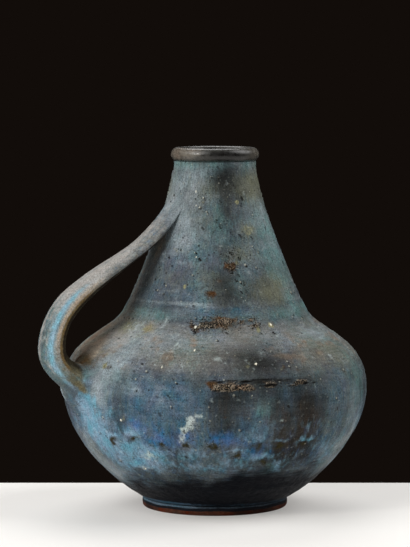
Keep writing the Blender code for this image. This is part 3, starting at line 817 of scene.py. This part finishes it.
wall_glaze = glazed("matt copper-cobalt glaze on stoneware", "#424e55", WALL_LAYERS, 0.48)

POLE_RADIUS = 2.0 * MM  # of the first and last ring, which a fan of triangles closes
FLOOR_ROWS = 12
floor_height = BASE_RECESS + FLOOR
base_radius = FOOT_RADIUS - FOOT_WIDTH - JOINT_GAP
base_rows = np.array([(POLE_RADIUS, BASE_RECESS), (base_radius, BASE_RECESS), (base_radius, FOOT_TOP)])
bowl_lining = lining_rows(BOWL_SEAM, floor_height + WALL)
floor_middle = np.array([POLE_RADIUS, floor_height])
wall_swing = np.array([-6.0, -5.0]) * MM
floor_swing = np.array([15.0, 0.0]) * MM
floor_rows = swing_curve(bowl_lining[-1], wall_swing, floor_swing, floor_middle, FLOOR_ROWS)
bowl_lining = np.vstack([bowl_lining, floor_rows[1:]])
lower_bowl = thrown_section("lower_bowl_skin", FOOT_TOP, BOWL_SEAM, base_rows, bowl_lining)
lower_bowl.data.materials.append(wall_glaze)
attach(lower_bowl, "root")
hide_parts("lower_bowl")

# Foot ring
# A ring of the same red stoneware that the jug stands on, turned with the bowl. Its lower edge was
# wiped clean before firing, so bare clay shows there, under a dark line of glaze.
FOOT_BULGE = 2.2 * MM
FOOT_CHAMFER = 0.8 * MM
FOOT_SIDE_ROWS = 25
FOOT_SQUARENESS = 0.4  # power of the cosine: 1 is an oval side, and 0 a straight one
foot_inner = FOOT_RADIUS - FOOT_WIDTH
lean = np.linspace(-0.5 * math.pi, 0.5 * math.pi, FOOT_SIDE_ROWS)[:, None]
foot_middle = np.array([FOOT_RADIUS - FOOT_BULGE, FOOT_TOP / 2])
bulge = FOOT_BULGE * np.cos(lean) ** FOOT_SQUARENESS
foot_side = foot_middle + np.hstack([bulge, FOOT_TOP / 2 * np.sin(lean)])
foot_rows = np.vstack([
    [(foot_inner, FOOT_TOP), (foot_inner, FOOT_CHAMFER), (foot_inner + FOOT_CHAMFER, 0.0)],
    foot_side,
])
foot_grid = turned(foot_rows)
foot_height = np.broadcast_to(foot_rows[:, 1:] / MM, foot_grid.shape[:2])
wiped = cloud(foot_grid, (9 * MM, 9 * MM, 30 * MM), 3, shift=2.0)
foot_thick = thick_side(wall_places(foot_grid))
foot_masks = {
    "dark": rise(foot_height + 0.5 * wiped, 2.6, 3.6),
    "pool": rise(foot_height + 0.4 * wiped, 4.2, 5.4) * foot_thick,
    "scorch": 0.95 - 0.5 * foot_thick + 0.6 * cloud(foot_grid, 14 * MM, 3, shift=31.0),
}
FOOT_LAYERS = [
    ("scorch", "#2c1a14", "blotches", 0.9, 0.40),
    ("dark", "#17181c", "specks", 0.4, 0.25),
    ("pool", "#52636f", "runs", 0.5, 0.30),
]
# Bare red stoneware: rough, iron-brown, scorched darker in places by the kiln, with no shine.
foot_clay = glazed("bare red stoneware with a glaze edge", "#4a2a1e", FOOT_LAYERS, 0.70)
foot_ring = joined("foot_ring_skin", foot_grid, foot_masks, closed=True)
foot_ring.data.materials.append(foot_clay)
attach(foot_ring, "root")
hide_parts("foot_ring")

# Shoulder
# The upper half of the body, thrown as its own section and luted on at the groove of the belly.
# It lies under the same glaze, greyer here because the glaze lay thin on the slope.
no_base = np.zeros((0, 2))
shoulder = thrown_section("shoulder_skin", BOWL_SEAM, NECK_SEAM, no_base, lining_rows(NECK_SEAM, BOWL_SEAM))
shoulder.data.materials.append(wall_glaze)
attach(shoulder, "root")
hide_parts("shoulder")

# Neck
# The tall cone of the neck, thrown and luted to the shoulder where the pale rings run round.
# The glaze ran down it in fine upright streaks and blistered.
neck_top = NECK_TOP[1]
neck = thrown_section("neck_skin", NECK_SEAM, neck_top, no_base, lining_rows(neck_top, NECK_SEAM))
neck.data.materials.append(wall_glaze)
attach(neck, "root")
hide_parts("neck")

# Rim
# The rolled lip of the mouth: the neck's edge folded over and smoothed with a wet finger, in
# a thin brown-grey glaze with a satin shine.
RIM_LOW, RIM_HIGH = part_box("rim")
RIM_RADIUS = RIM_HIGH.x
RIM_ROLL = 8.2 * MM
RIM_TUCK = math.radians(36.0)  # how far the roll goes on under itself on both sides
RIM_WALL = 5.3 * MM
RIM_WANDER = 0.25 * MM
ROLL_ROWS = 36
half_height = (RIM_HIGH.z - RIM_LOW.z) / 2
around = np.linspace(-RIM_TUCK, math.pi + RIM_TUCK, ROLL_ROWS)[:, None]
roll_middle = np.array([RIM_RADIUS - RIM_ROLL / 2, RIM_HIGH.z - half_height])
roll = roll_middle + np.hstack([RIM_ROLL / 2 * np.cos(around), half_height * np.sin(around)])
mouth_radius = NECK_TOP[0] - RIM_WALL
rim_rows = np.vstack([[(NECK_TOP[0], RIM_LOW.z)], roll, [(mouth_radius, RIM_LOW.z)]])
rim_plain = turned(rim_rows)
wander = RIM_WANDER * cloud(rim_plain, 18 * MM, 2, shift=41.0)
rim_grid = rim_plain + wander[..., None] * ROUND
rim_places = wall_places(rim_plain)
rim_masks = {
    "tan": placed(rim_places, [(-60, 237, 14, 5, 1.0), (-30, 237, 8, 3, 0.5), (70, 237, 12, 4, 0.6)]),
    "shade": placed(rim_places, [(15, 235, 16, 5, 1.1), (-165, 235, 30, 5, 0.9)]),
    "seam": np.broadcast_to(fall(rim_rows[:, 1:] / MM, 231.5, 233.0), rim_plain.shape[:2]),
}
RIM_LAYERS = [
    ("tan", "#5a534a", "blotches", 1.0, 0.40),
    ("shade", "#151413", "blotches", 0.8, 0.45),
    ("seam", "#2e3a39", "blotches", 0.5, 0.30),
]
# Thin brown-grey glaze: nearly smooth, so that it draws the lamps as soft long lights.
RIM_TOOTH = 0.04 * MM
rim_glaze = glazed("thin brown-grey satin glaze", "#33322e", RIM_LAYERS, 0.32, shine=0.38, tooth=RIM_TOOTH)
rim = joined("rim_skin", rim_grid, rim_masks, closed=True)
rim.data.materials.append(rim_glaze)
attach(rim, "root")
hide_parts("rim")

# Handle
# A strap of clay pulled by hand to a tongue, pressed on under the rim, looped and pressed on again
# at the belly, with two finger channels along its back. Its glaze pooled blue in the channels.
STRAP_SIDES = 120
CHANNEL_DEPTH = 1.2 * MM
CHANNEL_PLACE = 0.70  # share of the way from the strap's middle to its edge
CHANNEL_WIDTH = 3.6 * MM
HUG_SHARE = 0.25  # share of the strap at each end that bends round the wall
DEEPEST_ROOT = 4.0 * MM
TOP_SINK = 1.0 * MM
TOP_THINS = (186, 212)  # heights in mm between which the strap thins out into the neck
STRAP_LUMPS = ((0.25 * MM, 16 * MM, 51.0), (0.06 * MM, 3 * MM, 57.0))  # lift, size and shift
turn = np.linspace(0.0, 2 * math.pi, STRAP_SIDES, endpoint=False)
hug = fall(np.minimum(SHARE, 1 - SHARE), 0.0, HUG_SHARE)[:, None]
across = HALF_WIDTH[:, None] * np.cos(turn)
backward = np.clip(np.sin(turn), 0.0, 1.0)
off_channel = (np.abs(across) - CHANNEL_PLACE * HALF_WIDTH[:, None]) / (CHANNEL_WIDTH / 2)
channel = np.exp(-(off_channel**2)) * backward
wall_radius = radius_at(MIDDLE[:, 1:])
bend = wall_radius - np.sqrt(np.maximum(wall_radius**2 - across**2, 0.0))
outward = HALF_THICKNESS[:, None] * np.sin(turn) - (1 - hug) * CHANNEL_DEPTH * channel - hug * bend
strap = np.stack([
    RUN[:, 1:] * outward - MIDDLE[:, :1],
    across,
    MIDDLE[:, 1:] + RUN[:, :1] * outward,
], axis=-1)


def off_wall(points):
    """Distance from the turned wall: how far the point stands out of it, times its slope."""
    radius = np.hypot(points[..., 0], points[..., 1])
    slope = np.interp(points[..., 2], OUTLINE[:, 1], OUTWARD[:, 0])
    return (radius - radius_at(points[..., 2])) * slope


share = SHARE[:, None]
face = np.sin(turn) * np.ones_like(share)
edge_side = np.cos(turn) * np.ones_like(share)
swell = fillet(off_wall(strap), strap[..., 2])
swell += sum(lift * cloud(strap, size, 2, shift=shift) for lift, size, shift in STRAP_LUMPS)
strap_facing = np.stack([face * RUN[:, 1:], edge_side, face * RUN[:, :1]], axis=-1)
strap = strap + swell[..., None] * strap_facing
# No point lies deeper in the wall than the roots do, and the top end sinks away under the rim.
proud = off_wall(strap)
thinned = rise(strap[..., 2] / MM, *TOP_THINS)
pushed_out = np.minimum(proud + DEEPEST_ROOT, 0.0)
pulled_in = thinned * (np.maximum(proud, 0.0) + TOP_SINK)
radial = strap * np.array([1.0, 1.0, 0.0])
radial /= np.linalg.norm(radial, axis=-1, keepdims=True)
strap = strap - (pushed_out + pulled_in)[..., None] * radial

# The strap's glazes: grey on the upper run, with painted shade along its lower edge, blue pooled in the
# channels of the loop, violet and dark on its back as painted shade where the loop turns under, amber along
# its edges, and painted shade underneath, near black, and olive at the low end.
edgeward = np.abs(edge_side)
mottle = cloud(strap, 10 * MM, 3, shift=61.0)
pulled = np.stack([4 * share * np.ones_like(across), across / (4 * MM), np.zeros_like(across)], axis=-1)
streaks = cloud(pulled, 1.0, 3, shift=67.0)
loop = rise(share, 0.40, 0.62)
low_loop = rise(share, 0.55, 0.70)
near_edge = rise(-edge_side, 0.35, 0.80)
on_edge = rise(edgeward, 0.5, 0.9) * loop
pooled = np.exp(-(((edgeward - CHANNEL_PLACE) / (0.06 + 0.09 * loop)) ** 2)) * backward**0.5
back_of_loop = rise(share, 0.60, 0.74) * fall(share, 0.82, 0.90)
strap_masks = {
    "stone": 0.9 * (1 - loop) * np.ones_like(face),
    # The lilac thins along the upper run's lower edge, leaving painted shade there.
    "lilac": 0.9 + 0.3 * mottle + 0.5 * streaks - 0.5 * low_loop - 0.85 * near_edge * (1 - loop),
    "blue": 1.2 * np.maximum(-streaks, 0.0) * (1 - 0.7 * edgeward),
    "channel": 1.25 * pooled * rise(share, 0.48, 0.66),
    "teal": 0.8 * loop * np.ones_like(face),
    # Violet and charcoal on the low loop's back are painted shade, where it turns away from the lamps.
    "violet": low_loop * (1.2 * rise(face, 0.05, 0.5) * fall(share, 0.80, 0.90) + 0.3 * streaks),
    "charcoal": 0.5 * back_of_loop * fall(edgeward, 0.1, 0.7) * rise(face, 0.1, 0.6),
    "edge": np.exp(-(((face - 0.24) / 0.18) ** 2)) * on_edge * fall(share, 0.70, 0.86),
    "amber": np.exp(-(((face + 0.06) / 0.16) ** 2)) * on_edge,
    # Umber and moss on the inner face, and the tail at the low end, are painted shade.
    "umber_shade": 1.2 * rise(0.16 * loop - face, 0.16, 0.46),
    "moss_and_shade": rise(-face, 0.25, 0.6) * loop * (0.35 + 0.6 * mottle),
    "tail_shade": 1.2 * rise(share, 0.80, 0.92) * rise(edgeward, 0.75, 0.98),
}
# Near the wall the strap takes on the wall's own glazes, so that no line shows at its roots. Only the
# blue of the channels runs on almost to the end.
strap_height = strap[..., 2] / MM
root = np.maximum(fall(off_wall(strap) / MM, 1.0, 9.0), rise(strap_height, 180, 206))
root = np.maximum(root, 0.9 * fall(strap_height, 84, 102) * rise(share, 0.75, 0.92))
channel_end = fall(share, 0.88, 0.98)
for key in strap_masks:
    strap_masks[key] = strap_masks[key] * (channel_end if key == "channel" else 1 - root)
for key, mask in glaze_masks(wall_places(strap), strap).items():
    strap_masks[key] = strap_masks.get(key, 0.0) + mask * root
strap_masks["upright"] = np.full(root.shape, 0.5)
# The sides run the other way round from the wall's columns, so they are turned about to face out.
turned_masks = {key: mask[:, ::-1] for key, mask in strap_masks.items()}
handle = joined("handle_skin", strap[:, ::-1], turned_masks)
handle.data.materials.append(wall_glaze)
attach(handle, "root")
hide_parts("handle")

# Table
# The white table top that the jug stands on, a laminated board whose far edge is close behind the
# foot. It is stage, and no part of the jug.
TABLE_BACK = 87 * MM
TABLE_FRONT = 1.5
TABLE_HALF = 1.0
TABLE_THICK = 0.03
TABLE_LIFT = 0.22  # share of plain white in what the eye sees of it, so that its shadow stays pale


def seen_directly(tree):
    """1 for a ray from the eye, off a mirror or through glass, and 0 for light that was scattered."""
    seen = add(tree, "LightPath", {}).outputs
    direct = seen["Is Camera Ray"]
    for kind in ("Is Glossy Ray", "Is Transmission Ray"):
        direct = add(tree, "Math", {0: direct, 1: seen[kind]}, operation="MAXIMUM").outputs[0]
    return direct


table_plan = ((-1, -TABLE_BACK), (1, -TABLE_BACK), (1, TABLE_FRONT), (-1, TABLE_FRONT))
corners = np.array([
    side * TABLE_HALF * RIGHT + out * TOWARDS + np.array([0.0, 0.0, top])
    for top in (-TABLE_THICK, 0.0)
    for side, out in table_plan
])
table_mesh = bpy.data.meshes.new("table")
table_faces = [(0, 1, 2, 3), (7, 6, 5, 4), (0, 4, 5, 1), (1, 5, 6, 2), (2, 6, 7, 3), (3, 7, 4, 0)]
table_mesh.from_pydata(corners, [], table_faces)
table = bpy.data.objects.new("table", table_mesh)
bpy.context.scene.collection.objects.link(table)
# Matt white laminate: an even, warm white with no lights in it.
white = bpy.data.materials.new("matt white laminate")
white.use_nodes = True
tree = white.node_tree
laminate = tree.nodes["Principled BSDF"]
laminate.inputs["Base Color"].default_value = linear("#efece8")
laminate.inputs["Roughness"].default_value = 0.6
paper = add(tree, "Emission", {"Color": linear("#f6f3ef"), "Strength": 1.0}).outputs[0]
lift = add(tree, "Math", {0: seen_directly(tree), 1: TABLE_LIFT}, operation="MULTIPLY").outputs[0]
lifted = add(tree, "MixShader", {0: lift, 1: laminate.outputs[0], 2: paper}).outputs[0]
tree.links.new(lifted, tree.nodes["Material Output"].inputs["Surface"])
table_mesh.materials.append(white)

# Light
# A dark room with a large soft lamp high on the left in front and another on the right, one behind,
# so that the back is lit too, and a small one low on the left, which draws the light on the rim.
LAMPS = [
    # name, bearing and elevation in degrees, distance and width in metres, watts
    ("left", -58, 38, 6.8, 6.6, 405),
    ("window", -50, 24, 3.6, 0.75, 28),
    ("right", 92, 42, 7.2, 6.0, 370),
    ("back", 184, 50, 7.5, 4.8, 200),
]
JUG_MIDDLE = np.array([0.0, 0.0, 0.11])
ROOM_LIGHT = "#6e6e6e"  # what the room's walls throw on the jug
ROOM_DARK = "#120d0a"  # what is seen of them
for lamp_name, bearing, elevation, distance, width, watts in LAMPS:
    disk = bpy.data.lights.new(lamp_name, "AREA")
    disk.shape = "DISK"
    disk.size = width
    disk.energy = watts
    lamp = bpy.data.objects.new(lamp_name, disk)
    angle = math.radians(bearing)
    climb = math.radians(elevation)
    level_aim = math.sin(angle) * RIGHT + math.cos(angle) * TOWARDS
    aim = math.cos(climb) * level_aim + np.array([0.0, 0.0, math.sin(climb)])
    lamp.location = JUG_MIDDLE + distance * aim
    lamp.rotation_euler = Vector(aim).to_track_quat("Z", "Y").to_euler()
    bpy.context.scene.collection.objects.link(lamp)
world = bpy.data.worlds.new("dark room")
world.use_nodes = True
bpy.context.scene.world = world
tree = world.node_tree
walls = {0: seen_directly(tree), 6: linear(ROOM_LIGHT), 7: linear(ROOM_DARK)}
room = add(tree, "Mix", walls, data_type="RGBA").outputs[2]
tree.links.new(room, tree.nodes["Background"].inputs["Color"])

# Camera
# A long lens at the photograph's bearing, a little higher than the rim and left of the axis, and
# tilted down.
CAMERA_DISTANCE = 1.8
CAMERA_HEIGHT = 0.308
CAMERA_SIDE = -6.6 * MM
CAMERA_TILT = math.radians(4.838)
CAMERA_LENS = 177.76
view = bpy.data.cameras.new("camera")
view.lens = CAMERA_LENS
camera = bpy.data.objects.new("camera", view)
camera.location = CAMERA_DISTANCE * TOWARDS + CAMERA_SIDE * RIGHT + np.array([0.0, 0.0, CAMERA_HEIGHT])
camera.rotation_euler = (math.pi / 2 - CAMERA_TILT, 0.0, VIEW_AZIMUTH)
bpy.context.scene.collection.objects.link(camera)
bpy.context.scene.camera = camera
bpy.context.scene.view_settings.view_transform = "Standard"

bpy.context.view_layer.update()
